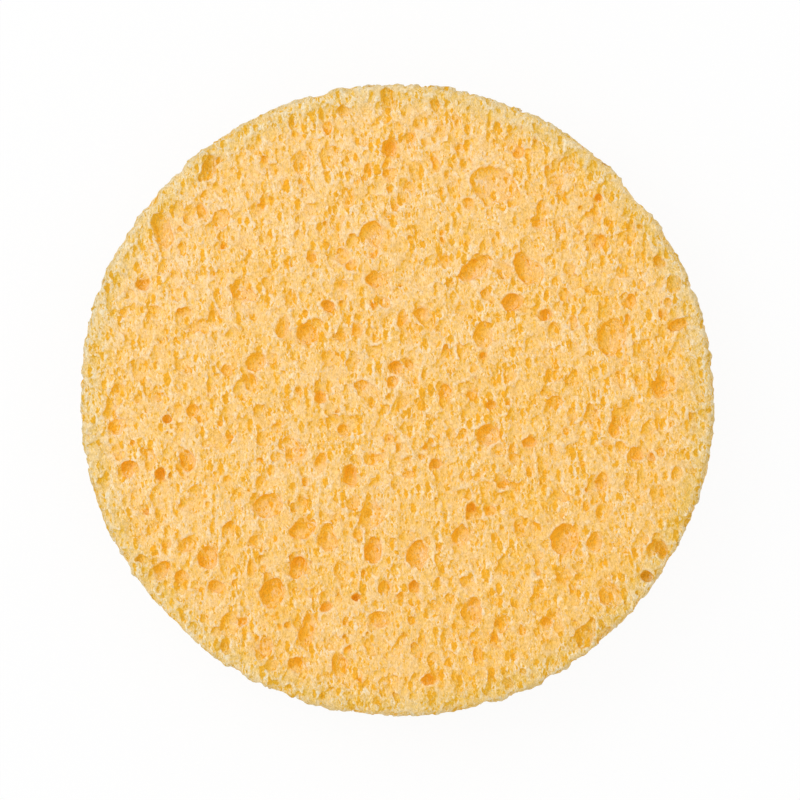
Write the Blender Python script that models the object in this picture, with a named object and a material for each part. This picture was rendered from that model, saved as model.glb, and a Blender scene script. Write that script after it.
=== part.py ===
"""Round facial sponge of regenerated cellulose foam, lying flat with its origin under its middle.

The sponge is one disc, stamped out of a sheet of foam. Its edge profile is turned into a disc
whose rim wanders a little from a true circle, as a die leaves it in a soft sheet. Bubbles that
were in the foam are then cut open by the two faces and by the rim. Each bubble is an ellipsoid,
and bubbles that run into each other are cut one layer after another.
"""

import math
import random

import bmesh
import bpy
from mathutils import Euler, Matrix, Vector

MM = 0.001
CM2 = 0.0001

# Disc
SPONGE_DIAMETER = 76 * MM
SPONGE_THICKNESS = 12 * MM
EDGE_ROUND = 1.2 * MM
EDGE_STEPS = 3
RIM_STEPS = 120
RIM_WANDER = 0.06 * MM

# Foam that is left standing between two scattered bubbles, and how deep the deepest pore goes as
# a share of the thickness
LEAST_WALL = 0.45 * MM
DEEPEST_SHARE = 0.16

# How far under the cut surface a bubble's middle lies, as a share of its half-depth, and how far
# it may lean over, in radians
MOUTH_SINK = 0.12
MOST_LEAN = 0.25

# Pores that are scattered over each cut surface: how long they are, how many there are to a
# square centimetre, and how strongly small ones outnumber large ones
PORE_LEAST = 1.2 * MM
PORE_MOST = 4.0 * MM
TOP_PER_CM2 = 0.1
BOTTOM_PER_CM2 = 0.9
RIM_PER_CM2 = 1.3
SMALL_PORE_BIAS = 1.8
TRIES_PER_PORE = 14

# Where a flat fixture can rest on each face, and how far scattered pores stay away from there
TOP_REST = (5.5 * MM, 6.3 * MM, SPONGE_THICKNESS)
BOTTOM_REST = (0.0, 0.0, 0.0)
REST_CLEAR = 2.5 * MM

# Half-widths from which an ellipsoid that is cut out gets more sides, and the sides it has below
# the first of them, from the first and from the second
MIDDLE_BUBBLE = 1.05 * MM
LARGE_BUBBLE = 1.6 * MM
BUBBLE_SIDES = (6, 8, 10)
LAYER_GAP = 0.05 * MM

FOAM_COLOUR = (0.94, 0.55, 0.18, 1.0)
FOAM_ROUGHNESS = 0.9

# The open pores that can be told apart on the top face, in millimetres and degrees: middle X and
# Y, length, width, the angle of the length from +X, and depth.
TOP_PORES = [
    # Upper left
    (-28.0, 20.2, 4.6, 2.3, 105, 2.6), (-30.3, 13.9, 1.8, 1.6, 0, 1.6), (-32.6, 10.4, 1.2, 1.1, 0, 0.9),
    (-29.2, 10.6, 1.4, 1.3, 0, 1.0), (-18.4, 12.8, 3.6, 1.9, -25, 2.0), (-21.1, 21.7, 2.6, 2.4, 40, 1.5),
    (-10.7, 8.0, 2.7, 2.6, 0, 2.2), (-16.7, 4.6, 2.9, 2.4, 20, 1.4), (-6.4, 17.4, 2.2, 1.7, 90, 1.5),
    (-6.5, 13.7, 1.6, 1.5, 0, 1.3), (-2.7, 19.8, 3.6, 1.8, 95, 2.0), (-2.6, 14.5, 2.4, 2.2, 0, 1.6),
    (-0.9, 30.0, 2.2, 1.7, 90, 1.9), (-1.0, 36.1, 3.0, 1.7, 100, 1.6), (-1.1, 27.2, 1.5, 1.3, 0, 1.0),
    (-22.5, 27.8, 3.6, 1.8, 75, 1.5), (-20.3, 3.6, 1.7, 1.4, 130, 1.2),
    # Upper right
    (11.5, 25.8, 6.0, 4.4, -20, 2.7), (14.6, 29.8, 1.8, 1.5, 90, 1.6), (7.6, 30.2, 1.6, 1.4, 0, 1.2),
    (19.0, 26.3, 1.8, 1.5, 0, 1.2), (16.9, 21.1, 1.8, 1.4, 0, 1.2), (9.4, 15.8, 4.8, 2.4, 32, 2.3),
    (15.3, 15.8, 4.2, 2.4, 110, 1.9), (13.7, 11.6, 2.6, 2.2, 20, 1.7), (24.2, 19.0, 2.0, 1.6, 45, 1.3),
    (25.7, 7.6, 4.8, 3.4, 80, 1.7), (33.6, 9.0, 2.4, 1.4, 20, 1.7), (10.1, 7.6, 1.7, 1.5, 90, 1.6),
    (10.3, 5.3, 1.1, 0.9, 90, 1.0), (17.7, 10.2, 1.8, 1.5, 60, 1.2), (28.0, 11.9, 1.8, 1.2, 100, 1.0),
    (31.6, 1.6, 3.0, 2.2, 70, 1.6),
    # Middle
    (-9.2, 0.4, 1.8, 1.3, 100, 1.7), (-4.1, 1.7, 1.8, 1.6, 0, 1.2), (-0.5, 2.2, 1.9, 1.5, 60, 1.1),
    (1.2, 4.4, 1.8, 1.1, 110, 1.5), (5.7, 1.0, 2.1, 1.5, 80, 1.3), (2.2, -2.6, 3.1, 1.0, 55, 0.9),
    (-0.9, -4.6, 1.4, 1.2, 0, 1.1), (-2.6, -6.9, 2.0, 1.1, 15, 1.2), (-6.3, -3.6, 1.9, 1.6, 30, 1.2),
    (-8.3, 11.3, 1.9, 1.4, -40, 1.5), (-4.7, 8.5, 2.2, 1.4, 90, 1.1), (2.9, 10.5, 1.6, 1.4, 0, 1.3),
    (11.2, -0.6, 1.4, 1.2, 0, 1.5), (3.6, -5.4, 1.5, 0.9, 50, 1.0),
    # Lower left
    (-15.5, -12.6, 3.8, 2.9, 15, 2.0), (-25.1, -7.2, 2.7, 2.1, 100, 2.2), (-32.1, -8.2, 2.4, 2.0, 60, 1.7),
    (-28.3, -8.9, 1.8, 1.3, 90, 1.6), (-12.2, -6.2, 2.6, 2.4, 0, 1.6), (-9.2, -7.3, 2.2, 1.4, 60, 1.3),
    (-5.6, -9.0, 2.9, 1.7, 95, 1.8), (-10.9, -9.7, 1.5, 1.0, 80, 1.0), (-33.6, -3.0, 2.4, 2.0, 80, 1.5),
    (-25.1, -17.2, 2.0, 1.7, 0, 1.2), (-28.4, -20.4, 2.4, 1.9, 70, 1.7), (-22.6, -18.9, 3.0, 2.3, 80, 1.8),
    (-21.6, -22.4, 2.2, 1.8, 0, 1.4), (-14.9, -23.1, 3.8, 3.0, 70, 2.1), (-11.9, -20.0, 2.9, 1.8, 75, 1.6),
    (-8.5, -24.6, 1.5, 1.2, 30, 1.9), (-4.9, -23.5, 1.1, 1.0, 0, 1.6), (-10.8, -27.6, 4.2, 1.9, 80, 1.9),
    (-8.3, -16.9, 2.6, 2.3, 0, 1.5), (-2.8, -17.9, 3.4, 2.3, 80, 1.7), (-3.1, -13.9, 3.4, 3.0, 45, 1.6),
    (-11.3, -15.4, 3.4, 2.2, 20, 1.6), (-17.0, -16.9, 1.8, 1.4, 0, 1.2), (-12.0, -31.6, 2.2, 1.9, 0, 1.5),
    (-15.9, -29.6, 2.6, 1.8, 80, 1.5), (-20.6, -29.6, 1.7, 1.2, 90, 1.1), (-18.5, -26.4, 1.5, 1.1, 20, 1.4),
    (-2.1, -26.2, 3.1, 2.2, 10, 1.6), (-1.4, -22.3, 1.8, 1.5, 0, 1.2), (-6.4, -31.4, 1.9, 1.5, 140, 1.3),
    # Lower right
    (10.9, -4.1, 2.9, 2.6, 20, 2.3), (20.0, -16.6, 3.9, 3.4, 80, 2.8), (23.6, -17.0, 2.8, 1.8, 80, 1.2),
    (4.6, -7.7, 1.7, 1.5, 0, 1.3), (1.4, -8.9, 1.3, 1.1, 0, 1.2), (7.6, -16.2, 2.9, 2.2, 80, 1.7),
    (15.9, -5.0, 1.7, 1.4, 0, 1.4), (12.7, -10.0, 1.5, 1.1, 15, 1.3), (26.5, -2.3, 1.8, 1.5, 60, 1.2),
    (28.6, -6.5, 2.0, 1.7, 0, 1.4), (24.2, -10.1, 2.0, 1.6, 120, 1.3), (31.5, -17.7, 2.3, 1.7, 100, 2.2),
    (29.8, -21.0, 1.7, 1.4, 0, 1.5), (22.5, -28.2, 3.0, 2.4, 60, 2.0), (18.0, -26.4, 1.7, 1.4, 0, 1.1),
    (9.3, -25.1, 3.4, 1.7, 95, 1.7), (2.0, -22.4, 1.9, 1.4, 100, 1.5), (4.7, -24.6, 1.8, 1.5, 0, 1.2),
    (3.7, -33.4, 1.7, 1.4, 20, 1.3), (2.4, -18.4, 3.3, 2.6, 80, 1.7), (11.2, -13.2, 1.7, 1.4, 0, 1.3),
]

# Where the outline swells past a true circle, or falls short of it, in degrees and millimetres:
# the angle from +X, how far to each side it reaches, and how far out the rim lies in its middle
RIM_SWELLS = [
    (14, 14, 0.08), (30, 5, -0.30), (40.5, 5, -0.95), (52, 10, -0.10), (80, 6, 0.15), (132, 7, 0.15),
    (163, 20, 0.22), (224, 24, -0.30), (249, 4, -0.30), (264, 6, -0.20), (297, 14, 0.16), (311, 4, -0.32),
    (347, 16, 0.20),
]

# Bubbles that the die cut through at the top edge: the angle round the rim from +X in degrees,
# the height of the middle as a share of the thickness, width and depth.
RIM_NICKS = [
    (10.3, 0.93, 2.2, 0.6), (31.3, 0.93, 2.2, 0.8), (70.0, 0.94, 1.6, 0.6), (281.0, 0.95, 1.4, 0.6),
    (311.5, 0.92, 2.8, 1.0),
]


class Bubble:
    """An ellipsoid of air: its middle, its three half-widths and how it is turned."""

    def __init__(self, middle, half_widths, turn):
        self.middle = Vector(middle)
        self.half_widths = Vector(half_widths)
        self.turn = turn

    def reach(self):
        """The radius of the ball that would hold the bubble."""
        return max(self.half_widths)

    def clears(self, other, wall):
        """Whether at least this much foam stands between two bubbles."""
        return (self.middle - other.middle).length > self.reach() + other.reach() + wall

    def cuts(self, point, margin):
        """Whether the bubble comes nearer than margin to a point."""
        return (self.middle - Vector(point)).length < self.reach() + margin


def rim_wander(angle):
    """How far the die-cut rim lies outside a true circle at this angle."""
    waves = ((7, 2.2, 0.4), (13, 4.0, 0.35), (23, 0.4, 0.25))
    wander = RIM_WANDER * sum(share * math.sin(count * angle + phase) for count, phase, share in waves)
    for degrees, reach, swell in RIM_SWELLS:
        aside = (math.degrees(angle) - degrees + 180) % 360 - 180
        if abs(aside) < reach:
            wander += swell * MM * math.cos(math.pi / 2 * aside / reach) ** 2
    return wander


def edge_profile():
    """Inset from the rim and height of each ring, from the bottom face up to the top face."""
    quarter = [math.radians(90 * step / EDGE_STEPS) for step in range(EDGE_STEPS + 1)]
    lower = [(EDGE_ROUND * (1 - math.sin(a)), EDGE_ROUND * (1 - math.cos(a))) for a in quarter]
    upper = [(inset, SPONGE_THICKNESS - height) for inset, height in reversed(lower)]
    return lower + upper


def foam_disc():
    """The disc before its bubbles are opened: rings of the edge profile and two flat faces."""
    shape = bmesh.new()
    rings = []
    for inset, height in edge_profile():
        ring = []
        for step in range(RIM_STEPS):
            angle = math.tau * step / RIM_STEPS
            radius = SPONGE_DIAMETER / 2 - inset + rim_wander(angle)
            ring.append(shape.verts.new((radius * math.cos(angle), radius * math.sin(angle), height)))
        rings.append(ring)
    for below, above in zip(rings, rings[1:]):
        for step in range(RIM_STEPS):
            after = (step + 1) % RIM_STEPS
            shape.faces.new((below[step], below[after], above[after], above[step]))
    shape.faces.new(list(reversed(rings[0])))
    shape.faces.new(rings[-1])
    mesh = bpy.data.meshes.new("sponge_disc")
    shape.to_mesh(mesh)
    shape.free()
    return mesh


def top_height(across):
    """The height of the top face at this distance from the axis, less on the rounded edge."""
    past = min(max(across - (SPONGE_DIAMETER / 2 - EDGE_ROUND), 0), EDGE_ROUND)
    return SPONGE_THICKNESS - EDGE_ROUND + math.sqrt(EDGE_ROUND ** 2 - past ** 2)


def pore_bubble(place, inward, length, width, spin, depth, lean):
    """The bubble that leaves a pore of this length, width and depth in a cut surface.

    The surface passes a little above the bubble's middle, so the pore is widest just inside its
    mouth, as most are in this foam. A lean tips the bubble, so that one wall overhangs.
    """
    half_depth = depth / (1 + MOUTH_SINK)
    mouth = math.sqrt(1 - MOUTH_SINK ** 2)
    half_widths = (length / 2 / mouth, width / 2 / mouth, half_depth)
    facing = inward.to_track_quat("Z", "Y").to_matrix()
    turn = facing @ Euler((*lean, spin)).to_matrix()
    return Bubble(place + inward * MOUTH_SINK * half_depth, half_widths, turn)


def random_lean(draw):
    """How far a bubble leans over, about its length and about its width."""
    return [draw.uniform(-MOST_LEAN, MOST_LEAN) for axis in "xy"]


def landmark_bubbles():
    """The bubbles under the pores that can be told apart on the top face."""
    draw = random.Random(5)
    found = []
    for x, y, length, width, degrees, depth in TOP_PORES:
        lean = random_lean(draw)
        across = math.hypot(x, y) * MM
        place = Vector((x * MM, y * MM, top_height(across)))
        deep = min(depth * MM, DEEPEST_SHARE * SPONGE_THICKNESS)
        spin = math.radians(-degrees)
        bubble = pore_bubble(place, Vector((0, 0, -1)), length * MM, width * MM, spin, deep, lean)
        if across < SPONGE_DIAMETER / 2 - EDGE_ROUND / 2:
            found.append(bubble)
    return found


def nick_bubbles():
    """The bubbles that nick the rim, each with its middle on the die-cut wall."""
    found = []
    for degrees, height_share, width, depth in RIM_NICKS:
        angle = math.radians(degrees)
        outward = Vector((math.cos(angle), math.sin(angle), 0))
        place = outward * (SPONGE_DIAMETER / 2 + rim_wander(angle))
        place.z = SPONGE_THICKNESS * height_share
        found.append(pore_bubble(place, -outward, width * MM, width * MM, 0, depth * MM, (0, 0)))
    return found


def random_size(draw):
    """Length, width and depth of a scattered pore, with many more small ones than large."""
    length = PORE_LEAST + (PORE_MOST - PORE_LEAST) * draw.random() ** SMALL_PORE_BIAS
    width = length * draw.uniform(0.6, 1.0)
    depth = min(length * draw.uniform(0.45, 0.8), DEEPEST_SHARE * SPONGE_THICKNESS)
    return length, width, depth


def face_spot(draw, height, inward):
    """A place for a scattered pore on a face, clear of the rounded edge."""
    length, width, depth = random_size(draw)
    radius = (SPONGE_DIAMETER / 2 - EDGE_ROUND - length / 2) * math.sqrt(draw.random())
    angle = draw.uniform(0, math.tau)
    place = Vector((radius * math.cos(angle), radius * math.sin(angle), height))
    spin = draw.uniform(0, math.pi)
    return pore_bubble(place, inward, length, width, spin, depth, random_lean(draw))


def rim_spot(draw):
    """A place for a scattered pore on the die-cut wall, clear of the rounded edges."""
    length, width, depth = random_size(draw)
    angle = draw.uniform(0, math.tau)
    lowest = EDGE_ROUND / 2 + length / 2
    height = draw.uniform(lowest, max(lowest, SPONGE_THICKNESS - lowest))
    outward = Vector((math.cos(angle), math.sin(angle), 0))
    place = outward * (SPONGE_DIAMETER / 2 + rim_wander(angle))
    place.z = height
    spin = draw.uniform(0, math.pi)
    return pore_bubble(place, -outward, length, width, spin, depth, random_lean(draw))


def scatter(spot, area, per_cm2, bubbles):
    """Add bubbles at random spots, each with a full wall to all that are there already."""
    wanted = round(area / CM2 * per_cm2)
    added = 0
    for attempt in range(wanted * TRIES_PER_PORE):
        if added == wanted:
            break
        bubble = spot()
        rests_clear = not any(bubble.cuts(point, REST_CLEAR) for point in (TOP_REST, BOTTOM_REST))
        if rests_clear and all(bubble.clears(other, LEAST_WALL) for other in bubbles):
            bubbles.append(bubble)
            added += 1


def all_bubbles():
    """Every bubble that a face or the rim cuts open."""
    down = Vector((0, 0, -1))
    face_area = math.pi * (SPONGE_DIAMETER / 2) ** 2
    rim_area = math.pi * SPONGE_DIAMETER * SPONGE_THICKNESS
    bubbles = landmark_bubbles() + nick_bubbles()
    top = random.Random(11)
    bottom = random.Random(23)
    rim = random.Random(37)
    scatter(lambda: rim_spot(rim), rim_area, RIM_PER_CM2, bubbles)
    scatter(lambda: face_spot(top, SPONGE_THICKNESS, down), face_area, TOP_PER_CM2, bubbles)
    scatter(lambda: face_spot(bottom, 0, -down), face_area, BOTTOM_PER_CM2, bubbles)
    return bubbles


def in_layers(bubbles):
    """Sort bubbles into layers, so that no two in one layer touch."""
    layers = []
    for bubble in bubbles:
        for layer in layers:
            if all(bubble.clears(other, LAYER_GAP) for other in layer):
                layer.append(bubble)
                break
        else:
            layers.append([bubble])
    return layers


def bubble_mesh(layer, name):
    """One closed ellipsoid for each bubble in a layer, with more sides on the larger ones."""
    shape = bmesh.new()
    for bubble in layer:
        steps_up = sum(bubble.reach() >= half_width for half_width in (MIDDLE_BUBBLE, LARGE_BUBBLE))
        sides = BUBBLE_SIDES[steps_up]
        widths = Matrix.Diagonal(bubble.half_widths)
        placed = Matrix.Translation(bubble.middle) @ (bubble.turn @ widths).to_4x4()
        bmesh.ops.create_uvsphere(shape, u_segments=sides, v_segments=sides // 2 + 1, radius=1, matrix=placed)
    mesh = bpy.data.meshes.new(name)
    shape.to_mesh(mesh)
    shape.free()
    return mesh


def foam_material():
    """Matte orange-yellow cellulose foam."""
    material = bpy.data.materials.new("cellulose_foam")
    material.use_nodes = True
    shader = material.node_tree.nodes["Principled BSDF"]
    shader.inputs["Base Color"].default_value = FOAM_COLOUR
    shader.inputs["Roughness"].default_value = FOAM_ROUGHNESS
    shader.inputs["Metallic"].default_value = 0.0
    return material


def build_sponge():
    """The foam disc, with one Boolean cut for each layer of bubbles."""
    for old in list(bpy.data.objects):
        bpy.data.objects.remove(old)
    sponge = bpy.data.objects.new("sponge_disc", foam_disc())
    sponge.data.materials.append(foam_material())
    bpy.context.scene.collection.objects.link(sponge)
    for number, layer in enumerate(in_layers(all_bubbles()), start=1):
        name = f"bubbles_{number}"
        cutter = bpy.data.objects.new(name, bubble_mesh(layer, name))
        cutter.hide_render = True
        cutter.display_type = "WIRE"
        bpy.context.scene.collection.objects.link(cutter)
        cut = sponge.modifiers.new(name, "BOOLEAN")
        cut.operation = "DIFFERENCE"
        cut.solver = "EXACT"
        cut.object = cutter


build_sponge()
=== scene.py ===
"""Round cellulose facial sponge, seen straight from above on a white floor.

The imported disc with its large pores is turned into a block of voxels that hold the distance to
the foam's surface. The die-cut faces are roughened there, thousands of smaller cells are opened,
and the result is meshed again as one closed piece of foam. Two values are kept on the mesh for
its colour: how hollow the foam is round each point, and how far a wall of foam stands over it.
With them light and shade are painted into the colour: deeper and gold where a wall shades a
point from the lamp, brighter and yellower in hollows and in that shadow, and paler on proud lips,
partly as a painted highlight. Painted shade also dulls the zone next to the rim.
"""

import math
from typing import NamedTuple

import bpy
import numpy as np
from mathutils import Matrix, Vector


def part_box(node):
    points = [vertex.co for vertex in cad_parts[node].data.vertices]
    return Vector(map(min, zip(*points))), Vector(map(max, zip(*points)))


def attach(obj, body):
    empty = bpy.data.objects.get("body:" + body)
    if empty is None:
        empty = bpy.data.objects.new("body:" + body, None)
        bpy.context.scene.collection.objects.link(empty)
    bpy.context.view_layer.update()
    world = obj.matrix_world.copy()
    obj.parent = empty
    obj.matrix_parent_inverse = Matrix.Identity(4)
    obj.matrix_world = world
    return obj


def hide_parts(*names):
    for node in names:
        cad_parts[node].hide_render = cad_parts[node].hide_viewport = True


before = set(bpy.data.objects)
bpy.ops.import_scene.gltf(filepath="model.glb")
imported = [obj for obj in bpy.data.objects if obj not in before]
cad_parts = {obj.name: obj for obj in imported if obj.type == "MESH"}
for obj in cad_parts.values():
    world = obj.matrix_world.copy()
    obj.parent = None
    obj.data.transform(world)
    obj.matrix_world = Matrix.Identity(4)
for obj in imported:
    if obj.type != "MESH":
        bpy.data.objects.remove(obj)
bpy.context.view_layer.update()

import openvdb
from mathutils import Euler, Vector

MM = 0.001

# Disc: its size from the frame, and the radius of its round edges
DISC_LOW, DISC_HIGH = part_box("sponge_disc")
DISC_TOP = DISC_HIGH.z
DISC_RADIUS = (DISC_HIGH.x - DISC_LOW.x) / 2
EDGE_ROUND = 1.2 * MM

# Photograph, in its pixels: its width, the disc's width, and where the disc's middle lies
PHOTO_PIXELS = 800
DISC_PIXELS = 634.8
DISC_MIDDLE_PX = (397.0, 400.3)
MM_PER_PX = 2 * DISC_RADIUS / DISC_PIXELS / MM

# Voxels: their size, how many are spare round the disc, and how many deep distances are kept
VOXEL = 0.2 * MM
SPARE = 8
BAND = 9

# Die-cut faces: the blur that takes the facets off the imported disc, and then the seed, the
# wavelength and the height of the lumps, and of the crumbs on them
FACET_BLUR = 0.11 * MM
LUMPS = (3, 2.2 * MM, 0.065 * MM)
CRUMBS = (4, 0.8 * MM, 0.035 * MM)

# Large pores: the depth that their floors are filled up to, and the width of the soft turn there
FLOOR_DEPTH = 1.5 * MM
FLOOR_BLEND = 0.9 * MM

# Grain: the way that the cells lie, and how much longer the finest are that way
GRAIN_TILT = math.radians(97)
GRAIN_STRETCH = 1.9

# Cells: how strongly the smaller ones of a range prevail, their breadth and depth as shares of
# their length, how far they lean over and turn from the grain, in radians, and how far their
# lips are rounded, by a least amount and a share of their size
SMALL_BIAS = 1.6
CELL_BREADTH = (0.4, 0.75)
CELL_DEPTH = (0.4, 0.65)
CELL_LEAN = 0.3
CELL_TURN = 0.35
LIP_LEAST = 0.35 * VOXEL
LIP_SHARE = 0.12

# Hollows: the blur that tells hollow places from proud ones
HOLLOW_BLUR = 0.3 * MM

# Painted shadow: the nearest and farthest look towards the lamp's side, the growth from one look
# to the next, and how soon a wall in the way counts as full shadow
LOOK_NEAREST = 0.15 * MM
LOOK_FARTHEST = 2.2 * MM
LOOK_GROWTH = 1.35
SHADOW_SLOPE = 2.2

# Map of the surface: the radius and middle of the top face, the width that the rim has for each
# radian, its low side and height, and how upright a spot faces where the rim ends
MAP_FACE_RADIUS = 0.24
MAP_FACE_MIDDLE = (0.25, 0.74)
MAP_RIM_PER_RADIAN = 0.156
MAP_RIM_LOW = 0.02
MAP_RIM_HEIGHT = 0.4
MAP_RIM_END = 0.7

# Foam colours by tone, from the palest lips to the deepest cells. Then the tone of open lands,
# and what it gains with each millimetre along x, y and z, a painted fall of light that leaves the
# foam paler towards the lamp's side.
FOAM_COLOURS = (
    (0.0, (1.0, 0.77, 0.48)),
    (0.4, (0.97, 0.61, 0.22)),
    (0.6, (0.95, 0.55, 0.115)),
    (0.8, (0.93, 0.48, 0.05)),
    (1.0, (0.92, 0.43, 0.024)),
)
LAND_TONE = 0.45
LAMP_FALLOFF_TONE = (0.0010, -0.0013, 0)

# Tints that the foam's colour is multiplied by, and the colour of its few brown specks. The first
# is painted light, brighter and yellower in hollows and in the lamp's shadow; the next two are
# painted shade, duller next to the rim and darker at the very edge
PAINTED_GLOW_TINT = (1.06, 1.18, 1.0)
RIM_SHADE_TINT = (0.90, 0.985, 1.05)
EDGE_SHADE_TINT = (0.85, 0.87, 0.87)
SPECK_COLOUR = (0.72, 0.27, 0.03)

# Zones of painted shade at the rim: where each begins and where it is full, in millimetres in
# from the outline
RIM_SHADE_ZONE = (4.5, 1.0)
EDGE_SHADE_ZONE = (0.9, 0.1)

# Lamp: its place in metres from the disc, its side and its power; and the light from all round
TO_LAMP = (-0.32, 0.17, 0.376)
LAMP_SIDE = 0.3
LAMP_WATTS = 0.5
ROOM_LIGHT = 0.87

# Floor: half its width, how far it lies under the disc, its paint, and the share that glows white
FLOOR_HALF = 2.0
FLOOR_GAP = 0.3 * MM
FLOOR_PAINT = (0.96, 0.96, 0.96, 1)
FLOOR_GLOW = 0.91

# Camera: the lens and the width of the sensor behind it, in millimetres
LENS = 200
SENSOR = 36


class CellRange(NamedTuple):
    """The cells of one range of size, and where they may open.

    Density is how many places are tried in a cubic millimetre, and least and most are the
    half-widths. inmost and outmost are how far out of the foam a cell's middle may lie, as shares
    of its half-width, and deepest is how far it may lie under the plain disc's surface.
    Raggedness is the share of the faces' roughness that its wall has.
    """

    seed: int
    density: float
    least: float
    most: float
    inmost: float
    outmost: float
    deepest: float
    raggedness: float


CELL_RANGES = (
    CellRange(
        seed=20, density=0.9, least=0.8 * MM, most=1.7 * MM,
        inmost=0.1, outmost=0.42, deepest=0.2 * MM, raggedness=0.6,
    ),
    CellRange(
        seed=21, density=0.55, least=0.6 * MM, most=1.2 * MM,
        inmost=-0.05, outmost=0.5, deepest=0.3 * MM, raggedness=1.0,
    ),
    CellRange(
        seed=22, density=3.4, least=0.25 * MM, most=0.6 * MM,
        inmost=-0.13, outmost=0.42, deepest=0.4 * MM, raggedness=1.0,
    ),
    CellRange(
        seed=23, density=9.0, least=0.17 * MM, most=0.28 * MM,
        inmost=-0.2, outmost=0.35, deepest=0.3 * MM, raggedness=0.3,
    ),
)


def from_edges(across, height):
    """How far a place lies past the middles of the round edges, sideways and up or down."""
    half = DISC_TOP / 2
    aside = across - (DISC_RADIUS - EDGE_ROUND)
    return aside, np.abs(height - half) - (half - EDGE_ROUND)


def round_disc(across, height):
    """The distance to a plain disc with round edges, at a distance from its axis and a height."""
    aside, above = from_edges(across, height)
    corner = np.hypot(np.maximum(aside, 0), np.maximum(above, 0))
    return corner + np.minimum(np.maximum(aside, above), 0) - EDGE_ROUND


def outward(points):
    """The direction that the plain disc's surface faces, nearest to each point in it."""
    across = np.hypot(points[:, 0], points[:, 1])
    aside, above = from_edges(across, points[:, 2])
    past_both = (aside > 0) & (above > 0)
    sideways = np.where(past_both, aside, aside > above)
    upright = np.where(past_both, above, aside <= above) * np.sign(points[:, 2] - DISC_TOP / 2)
    facing = np.stack([*(points[:, :2].T / np.maximum(across, VOXEL) * sideways), upright], 1)
    return facing / np.linalg.norm(facing, axis=1, keepdims=True)


def soft_least(first, second, blend):
    """The smaller of two distances, with the crease between them rounded over a width."""
    mix = np.clip(0.5 + 0.5 * (second - first) / blend, 0, 1)
    return mix * first + (1 - mix) * second - blend * mix * (1 - mix)


def laid_along(x, y, z):
    """Three rows of numbers, each laid along its own way of a block."""
    return x[:, None, None], y[None, :, None], z[None, None, :]


class FoamBlock:
    """A block of voxels round the disc, holding at each the distance to the foam's surface.

    The distance is negative inside the foam and stops growing past the band, BAND voxels away.
    """

    def __init__(self, low, high):
        self.first = np.floor(np.array(low) / VOXEL).astype(int) - SPARE
        last = np.ceil(np.array(high) / VOXEL).astype(int) + SPARE
        # Even numbers of voxels, which the Fourier transforms give back as they were
        self.shape = tuple(int(n) + int(n) % 2 for n in last - self.first + 1)
        self.axes = [(self.first[k] + np.arange(self.shape[k])) * VOXEL for k in range(3)]
        self.solid = np.full(self.shape, BAND * VOXEL, np.float32)
        steps = [np.fft.fftfreq(self.shape[k], VOXEL) for k in range(2)]
        x, y, z = laid_along(*steps, np.fft.rfftfreq(self.shape[2], VOXEL))
        self.frequency = np.sqrt(x ** 2 + y ** 2 + z ** 2)

    def filtered(self, values, response):
        """The values with each spatial frequency scaled by response."""
        return np.fft.irfftn(np.fft.rfftn(values) * response, self.shape).astype(np.float32)

    def blurred(self, values, radius):
        """The values under a Gaussian blur of this radius."""
        return self.filtered(values, np.exp(-2 * (math.pi * radius * self.frequency) ** 2))

    def noise(self, seed, wavelength, spread=0.45):
        """Smooth random values with a deviation of 1, about one wavelength from crest to crest.

        spread is how far the wavelengths in them differ, as a deviation of their logarithms.
        """
        draw = np.random.default_rng(seed).standard_normal(self.shape, np.float32)
        octaves = np.log(np.maximum(self.frequency, 1e-9) * wavelength)
        waves = self.filtered(draw, np.exp(-0.5 * (octaves / spread) ** 2))
        return waves / waves.std()

    def at(self, values, points):
        """The values read between voxels, at points in metres."""
        spot = np.clip(points / VOXEL - self.first, 0, np.array(self.shape) - 1.001)
        low = spot.astype(int)
        part = (spot - low).astype(np.float32)
        found = np.zeros(len(points), np.float32)
        for corner in range(8):
            side = np.array([corner >> k & 1 for k in range(3)])
            weight = np.prod(np.where(side, part, 1 - part), 1)
            x, y, z = (low + side).T
            found += weight * values[x, y, z]
        return found

    def depths(self):
        """The distance of each voxel to a plain disc with round edges, negative inside it."""
        x, y, z = laid_along(*self.axes)
        return round_disc(np.hypot(x, y), z).astype(np.float32)

    def carve(self, middle, half_widths, turn, ragged, rounding):
        """Open one ellipsoid of air. ragged is added to its distance, and rounding softens its lip."""
        reach = max(half_widths) + 2 * rounding
        ends = []
        for k in range(3):
            low = int((middle[k] - reach) / VOXEL) - self.first[k] - 1
            high = int((middle[k] + reach) / VOXEL) - self.first[k] + 3
            ends.append(slice(max(low, 0), min(high, self.shape[k])))
        x, y, z = laid_along(*(self.axes[k][ends[k]] - middle[k] for k in range(3)))
        u, v, w = (turn[0][k] * x + turn[1][k] * y + turn[2][k] * z for k in range(3))
        a, b, c = half_widths
        across = np.sqrt((u / a) ** 2 + (v / b) ** 2 + (w / c) ** 2) + 1e-6
        slope = np.sqrt((u / a ** 2) ** 2 + (v / b ** 2) ** 2 + (w / c ** 2) ** 2) + 1e-6
        air = across * (across - 1) / slope + ragged[tuple(ends)]
        foam = self.solid[tuple(ends)]
        self.solid[tuple(ends)] = -soft_least(-foam, air, rounding)


def fill_from_disc(block):
    """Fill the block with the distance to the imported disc's surface."""
    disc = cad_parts["sponge_disc"].data
    disc.calc_loop_triangles()
    points = np.empty(len(disc.vertices) * 3, np.float32)
    disc.vertices.foreach_get("co", points)
    corners = np.empty(len(disc.loop_triangles) * 3, np.int32)
    disc.loop_triangles.foreach_get("vertices", corners)
    band = openvdb.FloatGrid.createLevelSetFromPolygons(
        points.reshape(-1, 3),
        triangles=corners.reshape(-1, 3).astype(np.uint32),
        transform=openvdb.createLinearTransform(VOXEL),
        halfWidth=BAND,
    )
    band.copyToArray(block.solid, ijk=tuple(int(n) for n in block.first))


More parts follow.
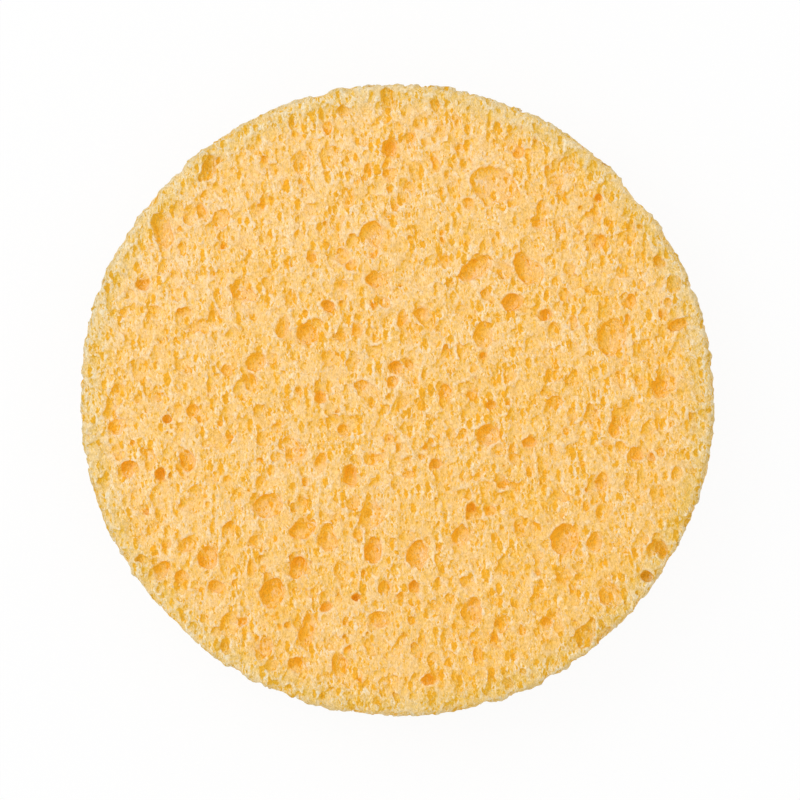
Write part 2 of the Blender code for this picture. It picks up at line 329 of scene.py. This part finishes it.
def open_cells(block, cells, ragged):
    """Open shallow cells of one range wherever their middles lie close enough to a surface."""
    draw = np.random.default_rng(cells.seed)
    low = np.array([DISC_LOW.x, DISC_LOW.y, DISC_LOW.z]) - 0.5 * cells.most
    size = np.array([DISC_HIGH.x, DISC_HIGH.y, DISC_HIGH.z]) + 0.5 * cells.most - low
    count = int(cells.density * np.prod(size) / MM ** 3)
    places = low + size * draw.random((count, 3))
    widths = cells.least + (cells.most - cells.least) * draw.random(count) ** SMALL_BIAS
    out = block.at(block.solid, places) / widths
    depth = -round_disc(np.hypot(places[:, 0], places[:, 1]), places[:, 2])
    near = (out > cells.inmost) & (out < cells.outmost) & (depth < cells.deepest)
    for place, width, facing in zip(places[near], widths[near], outward(places[near])):
        shape = (width, width * draw.uniform(*CELL_BREADTH), width * draw.uniform(*CELL_DEPTH))
        lean = (draw.normal(0, CELL_LEAN), draw.normal(0, CELL_LEAN), draw.normal(GRAIN_TILT, CELL_TURN))
        turn = Vector(facing).to_track_quat("Z", "Y").to_matrix() @ Euler(lean).to_matrix()
        block.carve(place, shape, turn, ragged, LIP_LEAST + LIP_SHARE * width)


def largest_piece(points, quads):
    """Only the faces that hang together with the most others, with their own points."""
    label = np.arange(len(points))
    while True:
        least = label[quads].min(1)
        new = label.copy()
        for k in range(4):
            np.minimum.at(new, quads[:, k], least)
        new = new[new]
        if (new == label).all():
            break
        label = new
    main = np.bincount(label[quads[:, 0]]).argmax()
    kept = quads[label[quads[:, 0]] == main]
    used, place = np.unique(kept, return_inverse=True)
    return points[used], place.reshape(-1, 4)


def lay_out_map(mesh, points):
    """A map of the surface for finishes kept as pictures: both faces, with the rim unrolled below."""
    order = np.empty(len(mesh.loops), np.int32)
    mesh.loops.foreach_get("vertex_index", order)
    corners = points[order].reshape(-1, 4, 3)
    x, y, z = (corners[..., k] for k in range(3))
    middle = corners.mean(1)
    upright = outward(middle)[:, 2:]
    on_rim = np.abs(upright) < MAP_RIM_END
    turned = np.arctan2(middle[:, 1], middle[:, 0])[:, None]
    cosine = np.cos(turned)
    sine = np.sin(turned)
    past = np.arctan2(y * cosine - x * sine, x * cosine + y * sine)
    spread = MAP_FACE_RADIUS / DISC_RADIUS
    rim_across = 0.5 + MAP_RIM_PER_RADIAN * (turned + past)
    face_across = 0.5 + np.sign(upright) * (spread * x - MAP_FACE_MIDDLE[0])
    across = np.where(on_rim, rim_across, face_across)
    along = np.where(on_rim, MAP_RIM_LOW + MAP_RIM_HEIGHT * z / DISC_TOP, MAP_FACE_MIDDLE[1] + spread * y)
    layer = mesh.uv_layers.new(name="OFBake")
    layer.uv.foreach_set("vector", np.stack([across, along], 2).astype(np.float32).ravel())


def foam_mesh(block, name):
    """The block's surface as one closed mesh of quads, with its points."""
    grid = openvdb.FloatGrid(BAND * VOXEL)
    grid.copyFromArray(block.solid, ijk=tuple(int(n) for n in block.first))
    grid.transform = openvdb.createLinearTransform(VOXEL)
    points, quads = grid.convertToQuads(isovalue=0.0)
    points, quads = largest_piece(points, quads.astype(np.int64))
    mesh = bpy.data.meshes.new(name)
    mesh.vertices.add(len(points))
    mesh.vertices.foreach_set("co", points.astype(np.float32).ravel())
    mesh.loops.add(quads.size)
    mesh.loops.foreach_set("vertex_index", quads[:, ::-1].astype(np.int32).ravel())
    mesh.polygons.add(len(quads))
    mesh.polygons.foreach_set("loop_start", np.arange(0, quads.size, 4, dtype=np.int32))
    mesh.update(calc_edges=True)
    mesh.validate()
    mesh.shade_smooth()
    lay_out_map(mesh, points)
    return mesh, points


def hollowness(block, points):
    """How hollow the foam is round each point, from -1 on a proud tip to 1 deep in a cell."""
    filled = np.clip(0.5 - block.solid / VOXEL, 0, 1)
    return 2 * block.at(block.blurred(filled, HOLLOW_BLUR), points) - 1


def lamp_shadowed(block, points):
    """How far a wall of foam stands over each point to one side, from 0 to 1.

    On the two faces that is the side that the lamp stands on, and on the rim it is above. This is
    the mask of a painted shadow: the colour is made deeper and gold there, in place of the shade
    that the wall casts from the lamp and the light that filters through the foam.
    """
    facing = outward(points)
    upright = np.abs(facing[:, 2:])
    aside = np.array([*TO_LAMP[:2], 0]) / math.hypot(*TO_LAMP[:2])
    aim = facing + upright * aside + (1 - upright) * np.array([0, 0, 1])
    aim /= np.linalg.norm(aim, axis=1, keepdims=True)
    open_sky = np.ones(len(points), np.float32)
    reach = LOOK_NEAREST
    while reach < LOOK_FARTHEST:
        gap = block.at(block.solid, points + reach * aim)
        open_sky = np.minimum(open_sky, 0.5 + SHADOW_SLOPE * gap / reach)
        reach *= LOOK_GROWTH
    return np.clip(1 - open_sky, 0, 1)


def keep_on_points(mesh, name, values):
    """Keep one value for each point of the mesh under this name."""
    attribute = mesh.attributes.new(name, "FLOAT", "POINT")
    attribute.data.foreach_set("value", values.astype(np.float32))


def build_foam():
    """The foam disc with all its cells open, as an object."""
    block = FoamBlock(DISC_LOW, DISC_HIGH)
    fill_from_disc(block)
    ragged = sum(height * block.noise(seed, wavelength) for seed, wavelength, height in (LUMPS, CRUMBS))
    block.solid = block.blurred(block.solid, FACET_BLUR)
    block.solid = soft_least(block.solid, block.depths() + FLOOR_DEPTH, FLOOR_BLEND) + ragged
    for cells in CELL_RANGES:
        open_cells(block, cells, cells.raggedness * ragged)
    mesh, points = foam_mesh(block, "cellulose_sponge")
    keep_on_points(mesh, "hollow_fine", hollowness(block, points))
    # A mask for painted shadow: how far a wall shades each point from the lamp
    keep_on_points(mesh, "lamp_shadowed", lamp_shadowed(block, points))
    sponge = bpy.data.objects.new("cellulose_sponge", mesh)
    bpy.context.scene.collection.objects.link(sponge)
    return sponge


class Nodes:
    """Places nodes in a node tree and joins them."""

    def __init__(self, tree):
        self.tree = tree

    def join(self, start, end):
        """Link an output to an input."""
        self.tree.links.new(start, end)

    def add(self, kind, inputs=None, **settings):
        """A node with its settings, and its inputs given as values or as outputs to link from."""
        node = self.tree.nodes.new("ShaderNode" + kind)
        for key, value in settings.items():
            setattr(node, key, value)
        for key, value in (inputs or {}).items():
            if isinstance(value, bpy.types.NodeSocket):
                self.join(value, node.inputs[key])
            else:
                node.inputs[key].default_value = value
        return node

    def math(self, operation, first, second=0.0, third=0.0, clamp=False):
        """The result of one sum."""
        inputs = {0: first, 1: second, 2: third}
        return self.add("Math", inputs, operation=operation, use_clamp=clamp).outputs[0]

    def vector(self, operation, first, second, third=(0, 0, 0)):
        """The result of one sum on vectors."""
        inputs = {0: first, 1: second, 2: third}
        return self.add("VectorMath", inputs, operation=operation).outputs["Vector"]

    def scaled(self, vector, times):
        """A vector or colour times a number."""
        return self.add("VectorMath", {0: vector, "Scale": times}, operation="SCALE").outputs["Vector"]

    def add_up(self, start, parts):
        """A first value with others added to it, each times its weight."""
        total = start
        for value, weight in parts:
            total = self.math("MULTIPLY_ADD", value, weight, total)
        return total

    def step(self, value, low, high):
        """0 where the value is low, rising smoothly to 1 where it is high."""
        ends = {"Value": value, "From Min": low, "From Max": high}
        return self.add("MapRange", ends, interpolation_type="SMOOTHSTEP").outputs["Result"]

    def noise(self, place, scale, detail, roughness=0.5):
        """The outputs of a noise, with scale as its number of waves in a millimetre."""
        inputs = {"Vector": place, "Scale": scale, "Detail": detail, "Roughness": roughness}
        return self.add("TexNoise", inputs).outputs

    def about_middle(self, value):
        """A noise value from 0 to 1, moved to lie about 0."""
        return self.math("SUBTRACT", value, 0.5)

    def mixed(self, share, colour, other, blend="MIX"):
        """A colour mixed with another by a share, or multiplied by it."""
        inputs = {0: share, 6: colour, 7: (*other, 1)}
        return self.add("Mix", inputs, data_type="RGBA", blend_type=blend).outputs[2]


def new_group(name, inputs, outputs):
    """An empty node group with named sockets, and its input and output nodes."""
    group = bpy.data.node_groups.new(name, "ShaderNodeTree")
    for title, kind, value in inputs:
        socket = group.interface.new_socket(title, in_out="INPUT", socket_type="NodeSocket" + kind)
        socket.default_value = value
    for title, kind in outputs:
        group.interface.new_socket(title, in_out="OUTPUT", socket_type="NodeSocket" + kind)
    nodes = Nodes(group)
    return nodes, group.nodes.new("NodeGroupInput").outputs, group.nodes.new("NodeGroupOutput").inputs


def open_micro_cells(nodes, given, place):
    """A soft mask of the micro cells that are open.

    Their widths run from 0.6 to 1.2 of the one that is given, and their strengths from 0.5 to 1.5.
    """
    finer = nodes.math("DIVIDE", 1.0, given["Cell size"])
    cells = nodes.add("TexVoronoi", {"Vector": place, "Scale": finer, "Randomness": 1.0}).outputs
    draw = nodes.add("SeparateColor", {"Color": cells["Color"]}).outputs
    chosen = nodes.math("LESS_THAN", draw["Red"], given["Share open"])
    width = nodes.math("MULTIPLY", given["Width"], nodes.math("MULTIPLY_ADD", draw["Green"], 0.6, 0.6))
    inside = nodes.step(nodes.math("SUBTRACT", width, cells["Distance"]), -0.1, 0.1)
    strength = nodes.math("ADD", draw["Blue"], 0.5)
    return nodes.math("MULTIPLY", nodes.math("MULTIPLY", inside, strength), chosen)


def micro_cell_group():
    """Cells too fine for the mesh, from one cell size and share.

    Open is 1 in each cell, Shaded only along its wall on the lamp's side, and Lit along the lip
    across from there. All three differ in strength from cell to cell.
    """
    nodes, given, made = new_group(
        "micro_cells",
        [
            ("Place", "Vector", (0, 0, 0)),
            ("Cell size", "Float", 0.4),
            ("Share open", "Float", 0.5),
            ("Width", "Float", 0.3),
        ],
        [("Open", "Float"), ("Shaded", "Float"), ("Lit", "Float")],
    )
    lamp_turn = math.atan2(TO_LAMP[1], TO_LAMP[0]) - GRAIN_TILT
    lamp_side = (math.cos(lamp_turn) / GRAIN_STRETCH, math.sin(lamp_turn), 0)
    shift = nodes.math("MULTIPLY", given["Width"], given["Cell size"])
    towards_lamp = nodes.vector("ADD", given["Place"], nodes.scaled(lamp_side, shift))
    here = open_micro_cells(nodes, given, given["Place"])
    there = open_micro_cells(nodes, given, towards_lamp)
    nodes.join(here, made["Open"])
    nodes.join(nodes.math("MAXIMUM", nodes.math("SUBTRACT", here, there), 0.0), made["Shaded"])
    nodes.join(nodes.math("MAXIMUM", nodes.math("SUBTRACT", there, here), 0.0), made["Lit"])
    return nodes.tree


def micro_cells(nodes, group, place, size, share, width):
    """The masks of one kind of micro cell: its size, the share that is open, and their width."""
    inputs = {"Place": place, "Cell size": size, "Share open": share, "Width": width}
    return nodes.add("Group", inputs, node_tree=group).outputs


def along_grain(nodes, place):
    """The place bent a little and pressed together along the grain, so that patterns stretch there."""
    wobble = nodes.noise(place, scale=2.2, detail=2.0)["Color"]
    bend = nodes.vector("SUBTRACT", wobble, (0.5, 0.5, 0.5))
    bent = nodes.vector("MULTIPLY_ADD", bend, (0.5, 0.5, 0.5), place)
    turn = {"Vector": bent, "Rotation": (0, 0, GRAIN_TILT), "Scale": (GRAIN_STRETCH, 1, 1)}
    return nodes.add("Mapping", turn, vector_type="TEXTURE").outputs["Vector"]


def flecks_and_patches(nodes, grained):
    """Masks of small pale flecks, partly the foam's own and partly painted glints, and of darker patches.
    """
    noise = nodes.noise(grained, scale=2.6, detail=1.5, roughness=0.55)
    fields = nodes.add("SeparateColor", {"Color": noise["Color"]}).outputs
    return nodes.step(fields["Red"], 0.55, 0.63), nodes.step(fields["Green"], 0.54, 0.61)


def torn_strands(nodes, grained):
    """A mask of thin pale strands, drawn out along the grain."""
    drawn = nodes.vector("MULTIPLY", grained, (0.6, 1, 1))
    waves = nodes.about_middle(nodes.noise(drawn, scale=1.3, detail=2.0)["Fac"])
    return nodes.step(nodes.math("ABSOLUTE", waves), 0.035, 0.0)


def fine_texture(nodes, strand, fine, coarse, fleck, patch, grit):
    """How much darker the finest cells make the foam, or paler where it is negative.

    What is above 0.3 is drawn out, so that the darkest cells stand out from the rest. The Shaded
    parts are painted shade on each cell's wall on the lamp's side, and the Lit parts a painted
    highlight on the lip across from there.
    """
    texture = nodes.add_up(0.0, [
        (strand, -0.25),
        (fine["Open"], 0.25),
        (fine["Shaded"], 0.35),
        (coarse["Open"], 0.3),
        (coarse["Shaded"], 0.55),
        (fine["Lit"], -0.25),
        (coarse["Lit"], -0.35),
        (fleck, -0.18),
        (patch, 0.2),
        (grit, -0.3),
    ])
    darkest = nodes.math("MAXIMUM", nodes.math("SUBTRACT", texture, 0.3), 0.0)
    return nodes.math("MULTIPLY_ADD", darkest, 0.5, nodes.math("MULTIPLY", texture, 0.85))


def foam_tone(nodes, place, texture, hollow, lamp_shadow):
    """The tone of the foam, from 0 on its palest lips to 1 deep in its cells.

    The texture counts half where the finest cells are sparse, and 1.25 where they crowd. The tone
    is deeper where a wall shades the foam from the lamp, a painted shade, and lower, so paler, on
    proud lips, partly the foam's own paler lips and partly a painted highlight.
    """
    crowds = nodes.step(nodes.noise(place, scale=0.45, detail=1.0)["Fac"], 0.36, 0.6)
    crowded = nodes.math("MULTIPLY_ADD", crowds, 0.75, 0.5)
    crowded = nodes.math("MULTIPLY", crowded, nodes.math("MULTIPLY_ADD", lamp_shadow, -0.25, 1.0))
    mottle = nodes.noise(place, scale=0.22, detail=3.0, roughness=0.6)["Fac"]
    # Painted light and shade in the tone: paler on proud lips, partly a painted highlight, and deeper in
    # the lamp's shadow, a painted shade
    tone = nodes.add_up(LAND_TONE, [
        (nodes.math("MINIMUM", hollow, 0.0), 0.7),
        (lamp_shadow, 0.6),
        (texture, crowded),
        (nodes.about_middle(mottle), 0.5),
    ])
    # A painted fall of light: the tone is paler towards the lamp's side
    falloff = nodes.add("VectorMath", {0: place, 1: LAMP_FALLOFF_TONE}, operation="DOT_PRODUCT")
    return nodes.math("ADD", tone, falloff.outputs["Value"])


def colour_of_tone(nodes, tone):
    """The foam's colour at a tone."""
    ramp = nodes.add("ValToRGB", {"Fac": tone})
    stops = ramp.color_ramp.elements
    for position, colour in FOAM_COLOURS[1:-1]:
        stops.new(position)
    for stop, (position, colour) in zip(stops, FOAM_COLOURS):
        stop.position = position
        stop.color = (*colour, 1)
    return ramp.outputs["Color"]


def edge_shade_masks(nodes, place):
    """Painted shade masks: the zone next to the rim and the very edge, both weaker half way up the rim.
    """
    flat = nodes.vector("MULTIPLY", place, (1, 1, 0))
    across = nodes.add("VectorMath", {0: flat}, operation="LENGTH").outputs["Value"]
    height = nodes.add("SeparateXYZ", {"Vector": place}).outputs["Z"]
    off_middle = nodes.math("ABSOLUTE", nodes.math("MULTIPLY_ADD", height, 2 * MM / DISC_TOP, -1.0))
    by_face = nodes.math("MULTIPLY_ADD", nodes.step(off_middle, 0.4, 0.9), 0.5, 0.5)
    radius = DISC_RADIUS / MM
    masks = []
    for begins, full in (RIM_SHADE_ZONE, EDGE_SHADE_ZONE):
        zone = nodes.step(across, radius - begins, radius - full)
        masks.append(nodes.math("MULTIPLY", zone, by_face))
    return masks


def foam_material():
    """Matte cellulose: cream lips and flecks, peach lands and yellow-orange cells."""
    material = bpy.data.materials.new("cellulose_foam")
    material.use_nodes = True
    shader = material.node_tree.nodes["Principled BSDF"]
    shader.inputs["Roughness"].default_value = 0.9
    shader.inputs["Specular IOR Level"].default_value = 0.2

    # Patterns too fine for the mesh, by the place in millimetres
    nodes = Nodes(material.node_tree)
    place = nodes.vector("MULTIPLY", nodes.add("TexCoord").outputs["Object"], (1 / MM, 1 / MM, 1 / MM))
    grained = along_grain(nodes, place)
    group = micro_cell_group()
    fine = micro_cells(nodes, group, grained, size=0.42, share=0.55, width=0.42)
    coarse = micro_cells(nodes, group, grained, size=1.0, share=0.55, width=0.36)
    specks = micro_cells(nodes, group, grained, size=0.8, share=0.25, width=0.12)
    fleck, patch = flecks_and_patches(nodes, grained)
    strand = torn_strands(nodes, grained)
    grit = nodes.about_middle(nodes.noise(grained, scale=6.0, detail=1.0, roughness=0.6)["Fac"])
    texture = fine_texture(nodes, strand, fine, coarse, fleck, patch, grit)

    # Colour, with painted light and shade: deeper and gold where a wall shades the foam from the
    # lamp, brighter and yellower in hollows and in that shadow, and duller towards the edge
    hollow = nodes.add("Attribute", attribute_name="hollow_fine").outputs["Fac"]
    lamp_shadow = nodes.add("Attribute", attribute_name="lamp_shadowed").outputs["Fac"]
    colour = colour_of_tone(nodes, foam_tone(nodes, place, texture, hollow, lamp_shadow))
    # Painted glow: brighter and yellower in hollows and in the lamp's shadow
    painted_glow = nodes.math("MULTIPLY_ADD", lamp_shadow, 0.6, hollow, clamp=True)
    colour = nodes.mixed(painted_glow, colour, PAINTED_GLOW_TINT, "MULTIPLY")
    # Painted shade: duller next to the rim and darker at the very edge
    for mask, tint in zip(edge_shade_masks(nodes, place), (RIM_SHADE_TINT, EDGE_SHADE_TINT)):
        colour = nodes.mixed(mask, colour, tint, "MULTIPLY")
    colour = nodes.scaled(colour, nodes.math("MULTIPLY_ADD", grit, 0.8, 1.0))
    colour = nodes.mixed(nodes.math("MULTIPLY", specks["Open"], 0.6), colour, SPECK_COLOUR)
    nodes.join(colour, shader.inputs["Base Color"])

    # Bump: proud flecks and sunk cells
    relief = nodes.add_up(0.0, [(fleck, 0.06), (fine["Open"], -0.05), (coarse["Open"], -0.07)])
    bump = nodes.add("Bump", {"Strength": 0.3, "Distance": MM, "Height": relief})
    nodes.join(bump.outputs["Normal"], shader.inputs["Normal"])
    return material


def in_view(nodes):
    """1 for rays that the camera sees, straight or by way of gloss or glass, and 0 for others."""
    path = nodes.add("LightPath").outputs
    seen = nodes.math("MAXIMUM", path["Is Camera Ray"], path["Is Glossy Ray"])
    return nodes.math("MAXIMUM", seen, path["Is Transmission Ray"])


def white_floor():
    """A white floor that takes the sponge's shadow faintly."""
    material = bpy.data.materials.new("white_floor")
    material.use_nodes = True
    nodes = Nodes(material.node_tree)
    shader = material.node_tree.nodes["Principled BSDF"]
    shader.inputs["Base Color"].default_value = FLOOR_PAINT
    shader.inputs["Roughness"].default_value = 0.9
    glow = nodes.add("Emission").outputs["Emission"]
    share = nodes.math("MULTIPLY", in_view(nodes), FLOOR_GLOW)
    mix = nodes.add("MixShader", {"Fac": share, 1: shader.outputs["BSDF"], 2: glow})
    nodes.join(mix.outputs["Shader"], material.node_tree.nodes["Material Output"].inputs["Surface"])
    mesh = bpy.data.meshes.new("floor")
    corners = ((-1, -1), (1, -1), (1, 1), (-1, 1))
    mesh.from_pydata([(FLOOR_HALF * x, FLOOR_HALF * y, 0) for x, y in corners], [], [(0, 1, 2, 3)])
    mesh.materials.append(material)
    floor = bpy.data.objects.new("floor", mesh)
    floor.location.z = -FLOOR_GAP
    bpy.context.scene.collection.objects.link(floor)


def studio_light():
    """A large soft lamp from the upper left, with plain white light from all round."""
    lamp = bpy.data.lights.new("key_light", "AREA")
    lamp.shape = "SQUARE"
    lamp.size = LAMP_SIDE
    lamp.energy = LAMP_WATTS
    key = bpy.data.objects.new("key_light", lamp)
    key.location = TO_LAMP
    key.rotation_mode = "QUATERNION"
    key.rotation_quaternion = (-key.location).to_track_quat("-Z", "Y")
    bpy.context.scene.collection.objects.link(key)
    world = bpy.data.worlds.new("white_room")
    world.use_nodes = True
    room = world.node_tree.nodes["Background"]
    room.inputs["Color"].default_value = (1, 1, 1, 1)
    nodes = Nodes(world.node_tree)
    strength = nodes.math("MULTIPLY_ADD", in_view(nodes), 1 - ROOM_LIGHT, ROOM_LIGHT)
    nodes.join(strength, room.inputs["Strength"])
    bpy.context.scene.world = world


def top_camera():
    """A long lens looking straight down, framed as the photograph is."""
    data = bpy.data.cameras.new("top_camera")
    data.lens = LENS
    data.sensor_width = SENSOR
    camera = bpy.data.objects.new("top_camera", data)
    frame_width = PHOTO_PIXELS * MM_PER_PX * MM
    aside = (PHOTO_PIXELS / 2 - DISC_MIDDLE_PX[0]) * MM_PER_PX * MM
    above = (DISC_MIDDLE_PX[1] - PHOTO_PIXELS / 2) * MM_PER_PX * MM
    # The outline from above is the upper end of the straight rim, so the frame is measured there
    widest = DISC_TOP - EDGE_ROUND
    camera.location = (aside, above, widest + frame_width * LENS / SENSOR)
    bpy.context.scene.collection.objects.link(camera)
    bpy.context.scene.camera = camera


bpy.context.scene.view_settings.view_transform = "Standard"
top_camera()
studio_light()
white_floor()
sponge = build_foam()
sponge.data.materials.append(foam_material())
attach(sponge, "root")
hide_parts("sponge_disc")
